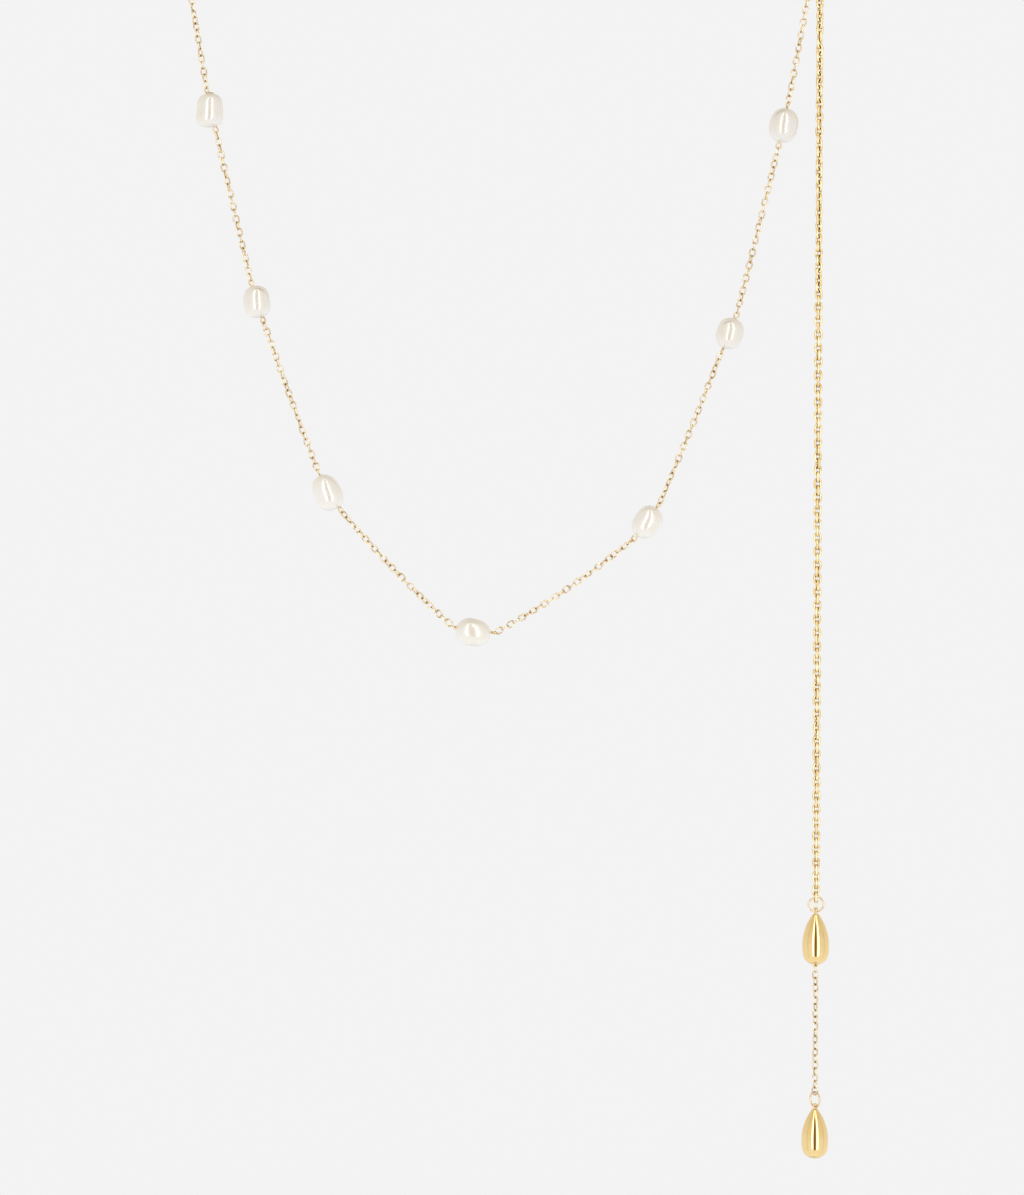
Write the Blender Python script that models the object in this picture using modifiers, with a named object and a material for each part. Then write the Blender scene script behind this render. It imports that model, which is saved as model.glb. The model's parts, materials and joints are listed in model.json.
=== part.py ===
"""Backdrop pearl necklace, in metres, +Z up.

A fine cable chain runs round the neck and carries seven drilled pearls in front. A heavier strand
hangs from the clasp's ring and ends in a polished teardrop, a short drop chain and a second
teardrop that swings on its jump ring. The origin is the nape, the middle of the back stretch.
+X is the wearer's left, on the right in a view from the front, and -Y points to the front.
"""

import math

import bmesh
import bpy
from mathutils import Matrix, Vector

# Planes that the front hangs in
FRONT_Y = -0.0301
STRAND_X = 0.06055
STRAND_Y = -0.0282

# Fine cable chain: tube diameter of its stretches, and the links of the drop chain
FINE_WIDTH = 0.00125
FINE_WIRE = 0.00028
FINE_PITCH = 0.001228

# Strand: a heavier cable chain
STRAND_WIDTH = 0.0016
STRAND_WIRE = 0.00046
STRAND_PITCH = 0.00129

# Tie link: carries the upper teardrop inside its jump ring
TIE_WIRE = 0.00024
TIE_WIDTH = 0.00092
TIE_LENGTH = 0.00222

# How the stretches of chain hang, and how finely their tubes are drawn
HANG_SPAN = 0.110
HANG_STEPS = 48
CURVE_STEPS = 12
TUBE_RESOLUTION = 2
POINT_SPACING = 0.0036
TRIM_SPACING = 0.00018

# How finely wire is drawn: quarter turns round a link's end, points round an eye, merging of caps
LINK_END_STEPS = 4
EYE_POINTS = 12
WELD_DISTANCE = 1e-7
SHARP_ANGLE_DEG = 50.0

# Clearances between separate pieces
END_GAP = 0.0003
HOLE_GAP = 0.00025
WIRE_GAP = 0.00008

# Pearls: middle of the pin on the front plane, lean of the pin, and size.
# The shift moves the pearl's middle off its drilled hole, the swell makes the upper end fatter.
PEARL_COLUMNS = ("x", "z", "lean_deg", "length", "width", "shift", "swell", "turn_deg")
PEARLS = (
    (-0.05520, -0.03710, 12.6, 0.00625, 0.00515, -0.00030, -0.07, 0.0),
    (-0.04630, -0.07350, 17.5, 0.00615, 0.00510, -0.00010, -0.03, 35.0),
    (-0.03240, -0.10945, 30.4, 0.00705, 0.00525, -0.00045, -0.07, 70.0),
    (-0.00490, -0.13565, 80.9, 0.00670, 0.00515, -0.00050, 0.05, 90.0),
    (0.02785, -0.11500, -36.4, 0.00650, 0.00510, 0.00015, 0.05, 20.0),
    (0.04340, -0.07910, -22.2, 0.00600, 0.00510, 0.00015, 0.03, 0.0),
    (0.05350, -0.03955, -12.6, 0.00655, 0.00545, 0.00010, 0.00, 60.0),
)
PEARL_BLUNTNESS = 2.3
PEARL_SEGMENTS = 16
PEARL_RINGS = 11
DRILL_SEGMENTS = 10
DRILL_REACH = 1.3

# Eye pin: a wire through the pearl with an eye at each end
PIN_WIRE = 0.00028
PIN_SHAFT = 0.00024
PIN_EYE_DIAMETER = 0.0012

# Rings that the ends hang on
RING_WIRE = 0.00038
RING_WIDTH = 0.0033
RING_SEGMENTS = 16
LOWER_RING_TURN_DEG = -56.0
CORNER_RING_DIAMETER = 0.0036
CORNER_RING_WIRE = 0.00044
CORNER_RING_X = 0.06035
CORNER_RING_Z = -0.0012

# Teardrops, from the apex down, and the eyes that they hang by
UPPER_DROP_APEX_Z = -0.18947
UPPER_DROP_HEIGHT = 0.0097
LOWER_DROP_HEIGHT = 0.0094
DROP_WIDTH = 0.0051
DROP_SEGMENTS = 20
UPPER_EYE_DIAMETER = 0.00146
LOWER_EYE_DIAMETER = 0.0013
EYE_WIRE = 0.0003
EYE_SINK = 0.00007
FOOT_EYE_DIAMETER = 0.00112

# Half-widths of a teardrop as shares of its width, against the share of its height from the apex
DROP_PROFILE = (
    (0.000, 0.125),
    (0.080, 0.195),
    (0.190, 0.313),
    (0.310, 0.402),
    (0.420, 0.460),
    (0.530, 0.493),
    (0.650, 0.500),
    (0.760, 0.488),
    (0.860, 0.448),
    (0.930, 0.350),
    (0.975, 0.215),
)

# Drop chain between the teardrops
DROP_LINKS = 20
LINK_SINK = 0.00007

# Clasp: a plain closed claw with an eye, in one piece
CLASP_LENGTH = 0.0088
CLASP_WIDTH = 0.0042
CLASP_WIRE = 0.0010
CLASP_EYE_DIAMETER = 0.0021
CLASP_EYE_WIRE = 0.0006
CLASP_POINTS = 16
CLASP_TAPER = 0.25

# Chosen points of the hidden stretch, from beside the clasp round the neck and down to the first pearl
BACK_ROUTE = (
    (0.0588, -0.01490, -0.00100),
    (0.0545, -0.01020, -0.00080),
    (0.0450, -0.00580, -0.00050),
    (0.0260, -0.00150, -0.00020),
    (0.0000, 0.00000, 0.00000),
    (-0.0260, -0.00150, 0.00000),
    (-0.0450, -0.00580, 0.00000),
    (-0.0558, -0.01180, 0.00000),
    (-0.0607, -0.02050, -0.00015),
    (-0.0613, -0.02680, -0.00120),
    (-0.0609, -0.02960, -0.00430),
    (-0.0601, -0.03010, -0.00920),
    (-0.0590, -0.03010, -0.01630),
)

GOLD_FINE = ("fine_gold", (0.86, 0.70, 0.42), 0.22, 1.0)
GOLD_STRAND = ("strand_gold", (0.83, 0.62, 0.27), 0.20, 1.0)
GOLD_POLISHED = ("polished_gold", (0.86, 0.67, 0.36), 0.10, 1.0)
PEARL_WHITE = ("pearl", (0.90, 0.88, 0.82), 0.18, 0.0)


def clear_scene():
    """Remove the objects that the scene opens with."""
    for old in list(bpy.data.objects):
        bpy.data.objects.remove(old, do_unlink=True)


def make_collection(name):
    """Make a collection under the scene's own."""
    group = bpy.data.collections.new(name)
    bpy.context.scene.collection.children.link(group)
    return group


def material(name, look):
    """A Principled material for one sub-part."""
    label, colour, roughness, metallic = look
    mat = bpy.data.materials.new(name + "_" + label)
    mat.use_nodes = True
    shader = mat.node_tree.nodes["Principled BSDF"]
    shader.inputs["Base Color"].default_value = (*colour, 1.0)
    shader.inputs["Roughness"].default_value = roughness
    shader.inputs["Metallic"].default_value = metallic
    mat.diffuse_color = (*colour, 1.0)
    return mat


def add_mesh_object(name, mesh, group, look=None):
    """Put a mesh in a collection as an object, shaded smooth."""
    obj = bpy.data.objects.new(name, mesh)
    group.objects.link(obj)
    mesh.shade_smooth()
    mesh.set_sharp_from_angle(angle=math.radians(SHARP_ANGLE_DEG))
    if look is not None:
        mesh.materials.append(material(name, look))
    return obj


def add_curve_object(name, paths, wire, resolution, group):
    """A curve object of round wire: each path is its points and whether it closes on itself."""
    curve = bpy.data.curves.new(name, "CURVE")
    curve.dimensions = "3D"
    curve.bevel_depth = wire / 2
    curve.bevel_resolution = resolution
    curve.use_fill_caps = True
    for points, closed in paths:
        spline = curve.splines.new("POLY")
        spline.points.add(len(points) - 1)
        for knot, point in zip(spline.points, points):
            knot.co = (*point, 1.0)
        spline.use_cyclic_u = closed
        spline.use_smooth = True
    obj = bpy.data.objects.new(name, curve)
    group.objects.link(obj)
    return obj


def wire_mesh(name, paths, wire, resolution, group):
    """Round wire as a mesh with welded caps, ready for a Boolean."""
    guide = add_curve_object(name + "_wire", paths, wire, resolution, group)
    evaluated = guide.evaluated_get(bpy.context.evaluated_depsgraph_get())
    mesh = bpy.data.meshes.new_from_object(evaluated)
    mesh.name = name
    shape = bmesh.new()
    shape.from_mesh(mesh)
    bmesh.ops.remove_doubles(shape, verts=shape.verts, dist=WELD_DISTANCE)
    bmesh.ops.recalc_face_normals(shape, faces=shape.faces)
    shape.to_mesh(mesh)
    shape.free()
    bpy.data.objects.remove(guide, do_unlink=True)
    return mesh


def mark_as_cutter(obj):
    """A cutter or guide: drawn as wire and left out of the model."""
    obj.hide_render = True
    obj.display_type = "WIRE"


def join_with(obj, helper, operation):
    """Cut or join an object with a helper that stays as a cutter."""
    mark_as_cutter(helper)
    step = obj.modifiers.new(operation.lower() + "_" + helper.name, "BOOLEAN")
    step.operation = operation
    step.object = helper
    step.solver = "EXACT"


def tube(name, points, diameter, look):
    """A plain tube along points, the solid that stands for a stretch of chain."""
    obj = add_curve_object(name, [(points, False)], diameter, TUBE_RESOLUTION, parts)
    obj.data.materials.append(material(name, look))
    return obj


def oval_path(centre, half_width, half_height, across, up, count):
    """Points round an oval in the plane of two directions."""
    path = []
    for index in range(count):
        angle = 2 * math.pi * (index + 0.5) / count
        offset = across * (half_width * math.cos(angle)) + up * (half_height * math.sin(angle))
        path.append(centre + offset)
    return path


def link_path(centre, half_width, half_length, across, along):
    """Points round a cable link: two half circles joined by straight sides."""
    path = []
    straight = half_length - half_width
    for end in (1, -1):
        for step in range(LINK_END_STEPS + 1):
            angle = math.pi * step / LINK_END_STEPS
            side = end * half_width * math.cos(angle)
            reach = end * (straight + half_width * math.sin(angle))
            path.append(centre + across * side + along * reach)
    return path


def even_points(points, spacing):
    """Points at even spacing along a polyline, both ends kept."""
    lengths = [0.0]
    for first, second in zip(points, points[1:]):
        lengths.append(lengths[-1] + (second - first).length)
    count = max(2, round(lengths[-1] / spacing))
    result = []
    index = 0
    for step in range(count + 1):
        target = lengths[-1] * step / count
        while index < len(points) - 2 and lengths[index + 1] < target:
            index += 1
        share = (target - lengths[index]) / (lengths[index + 1] - lengths[index])
        result.append(points[index].lerp(points[index + 1], share))
    return result


def smooth_through(points):
    """A smooth curve through chosen points."""
    padded = [2 * points[0] - points[1], *points, 2 * points[-1] - points[-2]]
    result = []
    for before, start, end, after in zip(padded, padded[1:], padded[2:], padded[3:]):
        for step in range(CURVE_STEPS):
            t = step / CURVE_STEPS
            result.append(0.5 * (2 * start + (end - before) * t
                                 + (2 * before - 5 * start + 4 * end - after) * t ** 2
                                 + (3 * start - 3 * end + after - before) * t ** 3))
    return [*result, points[-1]]


def hanging_curve(start, end):
    """The catenary between two points of the front plane, in fine steps."""
    run = end.x - start.x
    rise = end.z - start.z
    lowest = (start.x + end.x) / 2 - HANG_SPAN * math.asinh(
        rise / (2 * HANG_SPAN * math.sinh(run / (2 * HANG_SPAN))))
    base = math.cosh((start.x - lowest) / HANG_SPAN)
    result = []
    for step in range(HANG_STEPS + 1):
        x = start.x + run * step / HANG_STEPS
        lift = HANG_SPAN * (math.cosh((x - lowest) / HANG_SPAN) - base)
        y = start.y + (end.y - start.y) * step / HANG_STEPS
        result.append(Vector((x, y, start.z + lift)))
    return result


def trimmed(points, start_trim, end_trim):
    """A polyline with a length cut off each end."""
    fine = even_points(points, TRIM_SPACING)
    kept = [p for p in fine
            if (p - fine[0]).length >= start_trim and (p - fine[-1]).length >= end_trim]
    return kept


def pearl_rows():
    """The pearl table as named values."""
    return [dict(zip(PEARL_COLUMNS, row)) for row in PEARLS]


def pin_direction(row):
    """Direction up the pin, in the front plane."""
    lean = math.radians(row["lean_deg"])
    return Vector((-math.sin(lean), 0, math.cos(lean)))


def eye_centres(row):
    """Upper and lower eye of a pearl's pin."""
    middle = Vector((row["x"], FRONT_Y, row["z"]))
    reach = row["length"] / 2 + PIN_EYE_DIAMETER / 2
    return middle + pin_direction(row) * reach, middle - pin_direction(row) * reach


def pearl_frame(row):
    """Placement of a pearl: the front plane turned by the pin's lean."""
    return (Matrix.Translation((row["x"], FRONT_Y, row["z"]))
            @ Matrix.Rotation(-math.radians(row["lean_deg"]), 4, "Y"))


def make_pearl(index, row):
    """A blunt oval pearl drilled along its pin."""
    name = "pearl_%d" % index
    shape = bmesh.new()
    bmesh.ops.create_uvsphere(shape, u_segments=PEARL_SEGMENTS, v_segments=PEARL_RINGS, radius=1.0)
    for vert in shape.verts:
        flat = math.hypot(vert.co.x, vert.co.y)
        level = vert.co.z
        if flat > WELD_DISTANCE:
            full = (1 - abs(level) ** PEARL_BLUNTNESS) ** 0.5 * (1 + row["swell"] * level)
            vert.co.x *= full / flat * row["width"] / 2
            vert.co.y *= full / flat * row["width"] / 2
        vert.co.x += row["shift"]
        vert.co.z = level * row["length"] / 2
    mesh = bpy.data.meshes.new(name)
    shape.to_mesh(mesh)
    shape.free()
    pearl = add_mesh_object(name, mesh, parts, PEARL_WHITE)
    pearl.matrix_world = pearl_frame(row)

    drill = bmesh.new()
    hole = PIN_SHAFT / 2 + HOLE_GAP
    bmesh.ops.create_cone(drill, cap_ends=True, segments=DRILL_SEGMENTS, radius1=hole, radius2=hole,
                          depth=row["length"] * DRILL_REACH)
    drill_mesh = bpy.data.meshes.new(name + "_drill")
    drill.to_mesh(drill_mesh)
    drill.free()
    cutter = add_mesh_object(name + "_drill", drill_mesh, cutters)
    cutter.matrix_world = pearl_frame(row)
    join_with(pearl, cutter, "DIFFERENCE")


def make_pin(index, row):
    """The wire through a pearl, with an eye at each end."""
    name = "eye_pin_%d" % index
    upper, lower = eye_centres(row)
    up = pin_direction(row)
    radius = (PIN_EYE_DIAMETER - PIN_WIRE) / 2
    shaft = [upper - up * radius, lower + up * radius]
    mesh = wire_mesh(name, [(shaft, False)], PIN_SHAFT, 1, cutters)
    pin = add_mesh_object(name, mesh, parts, GOLD_FINE)
    turn = math.radians(row["turn_deg"])
    flat = up.cross(Vector((0, 1, 0)))
    across = flat * math.cos(turn) + Vector((0, 1, 0)) * math.sin(turn)
    eyes = [(oval_path(centre, radius, radius, across, up, EYE_POINTS), True)
            for centre in (upper, lower)]
    eye_mesh = wire_mesh(name + "_eyes", eyes, PIN_WIRE, 1, cutters)
    helper = add_mesh_object(name + "_eyes", eye_mesh, cutters)
    join_with(pin, helper, "UNION")


def make_front_stretches(rows):
    """Tubes for the chain between the pearls and from the last pearl to the corner ring."""
    trim = PIN_EYE_DIAMETER / 2 + END_GAP
    for index, (left, right) in enumerate(zip(rows, rows[1:]), start=1):
        start = eye_centres(left)[1 if left["lean_deg"] > 0 else 0]
        end = eye_centres(right)[0 if right["lean_deg"] > 0 else 1]
        curve = trimmed(hanging_curve(start, end), trim, trim)
        tube("chain_%d" % index, even_points(curve, POINT_SPACING), FINE_WIDTH, GOLD_FINE)
    start = eye_centres(rows[-1])[0]
    top = Vector((CORNER_RING_X - FINE_WIRE, FRONT_Y, corner_ring_foot() - END_GAP))
    curve = trimmed(hanging_curve(start, top), trim, 0.0)
    tube("chain_%d" % len(rows), even_points(curve, POINT_SPACING), FINE_WIDTH, GOLD_FINE)


def make_back_chain(rows):
    """The stretch behind the neck, from the clasp's eye to the first pearl's pin: two tubes that
    meet at the nape, on the wearer's left and right."""
    clasp_end = clasp_eye_centre()
    points = [clasp_end, *[Vector(point) for point in BACK_ROUTE], eye_centres(rows[0])[0]]
    curve = trimmed(smooth_through(points), CLASP_EYE_DIAMETER / 2 + END_GAP,
                    PIN_EYE_DIAMETER / 2 + END_GAP)
    left = [point for point in curve if point.x > END_GAP / 2]
    right = [point for point in curve if point.x < -END_GAP / 2]
    tube("back_chain_left", even_points(left, POINT_SPACING), FINE_WIDTH, GOLD_FINE)
    tube("back_chain_right", even_points(right, POINT_SPACING), FINE_WIDTH, GOLD_FINE)


def corner_ring_centre():
    """The corner ring hangs between the front plane and the strand's plane."""
    return Vector((CORNER_RING_X, (FRONT_Y + STRAND_Y) / 2, CORNER_RING_Z))


def corner_ring_foot():
    """Lowest point of the corner ring."""
    return CORNER_RING_Z - CORNER_RING_DIAMETER / 2


def make_corner_ring():
    """The ring at the clasp that carries the front chain and the strand, edge-on from the front."""
    radius = (CORNER_RING_DIAMETER - CORNER_RING_WIRE) / 2
    path = oval_path(corner_ring_centre(), radius, radius, Vector((0, 1, 0)), Vector((0, 0, 1)),
                     RING_SEGMENTS)
    mesh = wire_mesh("corner_ring", [(path, True)], CORNER_RING_WIRE, 1, cutters)
    add_mesh_object("corner_ring", mesh, parts, GOLD_STRAND)


def clasp_nose():
    """Middle of the clasp's wire at its front end, inside the corner ring."""
    ring_radius = (CORNER_RING_DIAMETER - CORNER_RING_WIRE) / 2
    back = corner_ring_centre() + Vector((0, ring_radius, 0))
    return back - Vector((0, CORNER_RING_WIRE / 2 + END_GAP + CLASP_WIRE / 2, 0))


def clasp_eye_centre():
    """Middle of the eye at the clasp's back end."""
    reach = CLASP_LENGTH - CLASP_WIRE + (CLASP_EYE_DIAMETER - CLASP_EYE_WIRE) / 2
    return clasp_nose() + Vector((0, reach, 0))


def make_clasp():
    """A closed claw, wider at its back, fused with its eye."""
    half_length = (CLASP_LENGTH - CLASP_WIRE) / 2
    half_width = (CLASP_WIDTH - CLASP_WIRE) / 2
    centre = clasp_nose() + Vector((0, half_length, 0))
    path = []
    for index in range(CLASP_POINTS):
        angle = 2 * math.pi * index / CLASP_POINTS
        taper = 1 + CLASP_TAPER * math.cos(angle)
        side = half_width * taper * math.sin(angle)
        path.append(centre + Vector((side, half_length * math.cos(angle), 0)))
    clasp = add_mesh_object("clasp", wire_mesh("clasp", [(path, True)], CLASP_WIRE, 2, cutters),
                            parts, GOLD_FINE)
    radius = (CLASP_EYE_DIAMETER - CLASP_EYE_WIRE) / 2
    eye = oval_path(clasp_eye_centre(), radius, radius, Vector((1, 0, 0)), Vector((0, 1, 0)), EYE_POINTS)
    eye_mesh = wire_mesh("clasp_eye", [(eye, True)], CLASP_EYE_WIRE, 1, cutters)
    join_with(clasp, add_mesh_object("clasp_eye", eye_mesh, cutters), "UNION")


def upper_eye_z():
    """Middle of the eye that the upper teardrop hangs by, its hole just above the apex."""
    return UPPER_DROP_APEX_Z + EYE_SINK + UPPER_EYE_DIAMETER / 2 - EYE_WIRE


def upper_hole_top():
    """Top of that eye's hole."""
    return upper_eye_z() + UPPER_EYE_DIAMETER / 2 - EYE_WIRE


def tie_link_foot():
    """Middle of the tie link's lower end, under the eye's top."""
    return upper_hole_top() - WIRE_GAP - TIE_WIRE / 2


def upper_ring_foot():
    """Middle of the upper ring's wire at its lowest, under the tie link."""
    return tie_link_foot() - TIE_WIRE / 2 - WIRE_GAP - RING_WIRE / 2


def tie_link_head():
    """Middle of the tie link's upper end."""
    return tie_link_foot() + TIE_LENGTH - TIE_WIRE


def upper_ring_head():
    """Middle of the upper ring's wire at its highest, over the tie link."""
    return tie_link_head() + TIE_WIRE / 2 + WIRE_GAP + RING_WIRE / 2


def strand_end_foot():
    """Middle of the last strand link's lower end, under the tie link's top."""
    return tie_link_head() - TIE_WIRE / 2 - WIRE_GAP - STRAND_WIRE / 2


def add_link(name, foot_z, wire, width, length, across, look):
    """One upright link on the strand's line, its lower end's wire at a given height."""
    half_length = (length - wire) / 2
    centre = Vector((STRAND_X, STRAND_Y, foot_z + half_length))
    path = link_path(centre, (width - wire) / 2, half_length, across, Vector((0, 0, 1)))
    add_mesh_object(name, wire_mesh(name, [(path, True)], wire, 1, cutters), parts, look)


def make_strand():
    """The strand's tube, its last link, and the tie link inside the upper ring."""
    link_length = STRAND_PITCH + 2 * STRAND_WIRE
    foot = strand_end_foot() - STRAND_WIRE / 2 + link_length + END_GAP
    top = corner_ring_foot() - END_GAP
    line = [Vector((STRAND_X, STRAND_Y, top)), Vector((STRAND_X, STRAND_Y, foot))]
    tube("strand", even_points(line, POINT_SPACING), STRAND_WIDTH, GOLD_STRAND)
    add_link("strand_end_link", strand_end_foot(), STRAND_WIRE, STRAND_WIDTH, link_length,
             Vector((0, 1, 0)), GOLD_STRAND)
    add_link("tie_link", tie_link_foot(), TIE_WIRE, TIE_WIDTH, TIE_LENGTH,
             Vector((1, 0, 0)), GOLD_FINE)


def ring_half_height():
    """Half the height of a jump ring's centre line."""
    return (upper_ring_head() - upper_ring_foot()) / 2


def make_jump_ring(name, foot_z, turn_deg):
    """A slightly oval jump ring on the strand's line, turned about the vertical."""
    turn = math.radians(turn_deg)
    across = Vector((math.cos(turn), math.sin(turn), 0))
    centre = Vector((STRAND_X, STRAND_Y, foot_z + ring_half_height()))
    path = oval_path(centre, (RING_WIDTH - RING_WIRE) / 2, ring_half_height(), across,
                     Vector((0, 0, 1)), RING_SEGMENTS)
    add_mesh_object(name, wire_mesh(name, [(path, True)], RING_WIRE, 1, cutters), parts, GOLD_POLISHED)


def upper_foot_eye_z():
    """Middle of the eye in the upper teardrop's foot."""
    return UPPER_DROP_APEX_Z - UPPER_DROP_HEIGHT - FOOT_EYE_DIAMETER / 2 + 2 * FINE_WIRE


def drop_chain_foot():
    """Middle of the drop chain's lowest wire; its highest is in the foot eye's hole."""
    return upper_foot_eye_z() - DROP_LINKS * FINE_PITCH - FINE_WIRE + LINK_SINK


def lower_ring_foot():
    """Middle of the lower ring's wire at its lowest: the axis that the lower teardrop swings on."""
    ring_head = drop_chain_foot() + FINE_WIRE / 2 + HOLE_GAP / 2 + RING_WIRE / 2
    return ring_head - 2 * ring_half_height()


def lower_ring_tangent():
    """Direction of the lower ring's wire at its lowest."""
    turn = math.radians(LOWER_RING_TURN_DEG)
    return Vector((math.cos(turn), math.sin(turn), 0))


def teardrop_mesh(name, height):
    """A turned teardrop, apex up at its object's origin."""
    profile = [(DROP_WIDTH * share, -height * level) for level, share in DROP_PROFILE]
    points = [(0.0, 0.0), *profile, (0.0, -height)]
    mesh = bpy.data.meshes.new(name)
    verts = [(radius, 0.0, z) for radius, z in points]
    edges = [(index, index + 1) for index in range(len(points) - 1)]
    mesh.from_pydata(verts, edges, [])
    return mesh


def make_teardrop(name, apex_z, height, eyes):
    """A polished teardrop fused with its eyes; each eye is its height, diameter, wire and plane."""
    drop = add_mesh_object(name, teardrop_mesh(name, height), parts, GOLD_POLISHED)
    drop.location = (STRAND_X, STRAND_Y, apex_z)
    screw = drop.modifiers.new("turn", "SCREW")
    screw.axis = "Z"
    screw.steps = DROP_SEGMENTS
    screw.render_steps = DROP_SEGMENTS
    screw.use_merge_vertices = True
    screw.merge_threshold = WELD_DISTANCE
    screw.use_smooth_shade = True
    for index, (eye_z, diameter, wire, across) in enumerate(eyes, start=1):
        label = "%s_eye_%d" % (name, index)
        radius = (diameter - wire) / 2
        path = oval_path(Vector((STRAND_X, STRAND_Y, eye_z)), radius, radius, across,
                         Vector((0, 0, 1)), EYE_POINTS)
        helper = add_mesh_object(label, wire_mesh(label, [(path, True)], wire, 1, cutters), cutters)
        join_with(drop, helper, "UNION")


def make_upper_teardrop():
    """The upper teardrop, with an eye at its apex and a smaller one in its foot."""
    front_on = Vector((1, 0, 0))
    edge_on = Vector((0, 1, 0))
    eyes = [(upper_eye_z(), UPPER_EYE_DIAMETER, EYE_WIRE, edge_on),
            (upper_foot_eye_z(), FOOT_EYE_DIAMETER, FINE_WIRE, front_on)]
    make_teardrop("upper_teardrop", UPPER_DROP_APEX_Z, UPPER_DROP_HEIGHT, eyes)


def make_lower_teardrop():
    """The lower teardrop: its eye is round the lower ring's wire and square to it."""
    tangent = lower_ring_tangent()
    across = Vector((-tangent.y, tangent.x, 0))
    apex = lower_ring_foot() - LOWER_EYE_DIAMETER / 2 + EYE_WIRE - EYE_SINK
    make_teardrop("lower_teardrop", apex, LOWER_DROP_HEIGHT,
                  [(lower_ring_foot(), LOWER_EYE_DIAMETER, EYE_WIRE, across)])


def make_drop_chain():
    """Interlocking fine links between the teardrops, fused into one body."""
    half_width = (FINE_WIDTH - FINE_WIRE) / 2
    half_length = (FINE_PITCH + FINE_WIRE - LINK_SINK) / 2
    first = upper_foot_eye_z() - half_length
    links = []
    for index in range(DROP_LINKS):
        centre = Vector((STRAND_X, STRAND_Y, first - index * FINE_PITCH))
        across = Vector((0, 1, 0)) if index % 2 == 0 else Vector((1, 0, 0))
        links.append((link_path(centre, half_width, half_length, across, Vector((0, 0, 1))), True))
    edge_on = wire_mesh("drop_chain", links[::2], FINE_WIRE, 1, cutters)
    face_on = wire_mesh("drop_chain_facing", links[1::2], FINE_WIRE, 1, cutters)
    chain = add_mesh_object("drop_chain", edge_on, parts, GOLD_FINE)
    others = add_mesh_object("drop_chain_facing", face_on, cutters)
    join_with(chain, others, "UNION")


clear_scene()
parts = make_collection("backdrop_necklace")
cutters = make_collection("cutters")

pearls = pearl_rows()
for number, pearl_row in enumerate(pearls, start=1):
    make_pearl(number, pearl_row)
    make_pin(number, pearl_row)
make_front_stretches(pearls)
make_back_chain(pearls)
make_corner_ring()
make_clasp()
make_strand()
make_jump_ring("upper_ring", upper_ring_foot(), 0.0)
make_upper_teardrop()
make_drop_chain()
make_jump_ring("lower_ring", lower_ring_foot(), LOWER_RING_TURN_DEG)
make_lower_teardrop()
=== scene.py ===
"""Looks of the backdrop pearl necklace: real links, lustrous pearls and polished drops.

All lengths are metres. The front of the loop hangs in the plane at FRONT_Y and the strand in the
plane at STRAND_Y, and -Y points to the camera. What repeats the frame's own sizes says so.
"""

import json
import math
import random

import bmesh
import bpy
from mathutils import Matrix, Vector, noise


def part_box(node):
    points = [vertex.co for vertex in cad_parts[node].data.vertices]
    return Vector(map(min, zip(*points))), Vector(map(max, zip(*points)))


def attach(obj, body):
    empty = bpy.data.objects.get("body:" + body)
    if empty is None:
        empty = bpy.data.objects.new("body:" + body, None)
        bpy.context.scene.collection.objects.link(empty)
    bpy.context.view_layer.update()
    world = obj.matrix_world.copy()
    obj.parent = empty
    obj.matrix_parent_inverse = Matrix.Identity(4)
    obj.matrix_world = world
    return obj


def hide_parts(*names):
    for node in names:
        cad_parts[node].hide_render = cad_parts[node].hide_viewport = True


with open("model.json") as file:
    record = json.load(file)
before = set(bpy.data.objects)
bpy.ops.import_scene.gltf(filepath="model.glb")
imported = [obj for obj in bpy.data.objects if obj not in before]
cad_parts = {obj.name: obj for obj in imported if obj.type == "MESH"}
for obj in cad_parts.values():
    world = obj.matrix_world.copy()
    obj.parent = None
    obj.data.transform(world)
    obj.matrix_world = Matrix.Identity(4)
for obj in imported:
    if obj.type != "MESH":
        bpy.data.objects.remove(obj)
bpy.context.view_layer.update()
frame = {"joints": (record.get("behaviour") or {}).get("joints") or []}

RIGHT = Vector((1, 0, 0))
AWAY = Vector((0, 1, 0))
UP = Vector((0, 0, 1))

# Camera: level, far back, on the middle of the photographed view, and turned a hair on its axis
CAMERA_PLACE = Vector((0.002375, -0.6608, -0.1295))
CAMERA_LENS_MM = 100.0
CAMERA_SENSOR_MM = 36.0
CAMERA_ROLL = 0.0046

# Studio: a white tent with a tall dark slot that the camera looks through, between two light strips
BACKDROP = 0.896
SLOT_HALF_WIDTH = 0.19
STRIP_OUTER = 0.38
STRIP_FOOT_Z = -0.60
STRIP_HEAD_Z = 2.50
STRIP_BEHIND_CAMERA = 0.02
STRIP_STRENGTH = 3.2
FLOOR_Z = -0.40
FLOOR_RADIUS = 0.9
FLOOR_FADE_FROM = 0.225
FLOOR_GLOW = 0.12

# Colour of the floor, cool enough to look neutral under the warm top of the tent
FLOOR_COLOUR = (0.85, 0.89, 0.98)

# Colour of the slot against the distance from its middle, as a share of its half-width
SLOT_COLOURS = (
    (0.00, (0.15, 0.11, 0.11)),
    (0.25, (0.18, 0.13, 0.10)),
    (0.52, (0.46, 0.33, 0.19)),
    (0.80, (1.05, 0.90, 0.66)),
    (1.00, (1.80, 1.65, 1.40)),
)

# Colour of the tent against the height of the direction, from straight down to straight up
TENT_HEIGHTS = (
    (0.00, (1.07, 1.08, 1.10)),
    (0.35, (1.02, 1.02, 1.03)),
    (0.50, (0.95, 0.945, 0.935)),
    (0.65, (0.90, 0.87, 0.81)),
    (1.00, (0.78, 0.73, 0.62)),
)

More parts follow.
